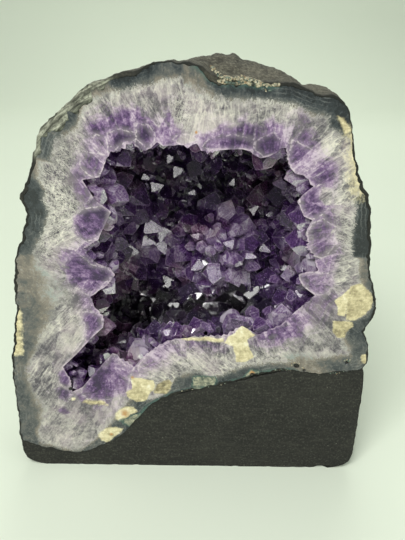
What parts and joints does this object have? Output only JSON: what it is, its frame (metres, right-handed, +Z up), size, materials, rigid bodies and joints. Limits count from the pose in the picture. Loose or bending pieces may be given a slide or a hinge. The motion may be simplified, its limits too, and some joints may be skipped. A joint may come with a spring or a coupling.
{
  "type": "cut amethyst geode",
  "caption": "Rough amethyst geode sawn open and polished across the front, its hollow lined with pointed purple quartz crystals, standing upright on a flat cement foot.",
  "frame": {"origin": "on the flat underside of the cement foot, below the middle of the object's width and depth", "axes": "+Z up, the sawn and polished face looks along -Y, +X to the right as the face is looked at"},
  "size_m": [0.1548, 0.09, 0.1823],
  "materials": {
    "quartz_and_agate": "polished on the cut, rough outside",
    "amethyst": "glassy natural crystal faces",
    "painted_cement": "matt, fine grained"
  },
  "bodies": {
    "root": {"geode_wall": "quartz_and_agate", "amethyst_crystals": "amethyst", "cement_foot": "painted_cement"}
  },
  "joints": []
}
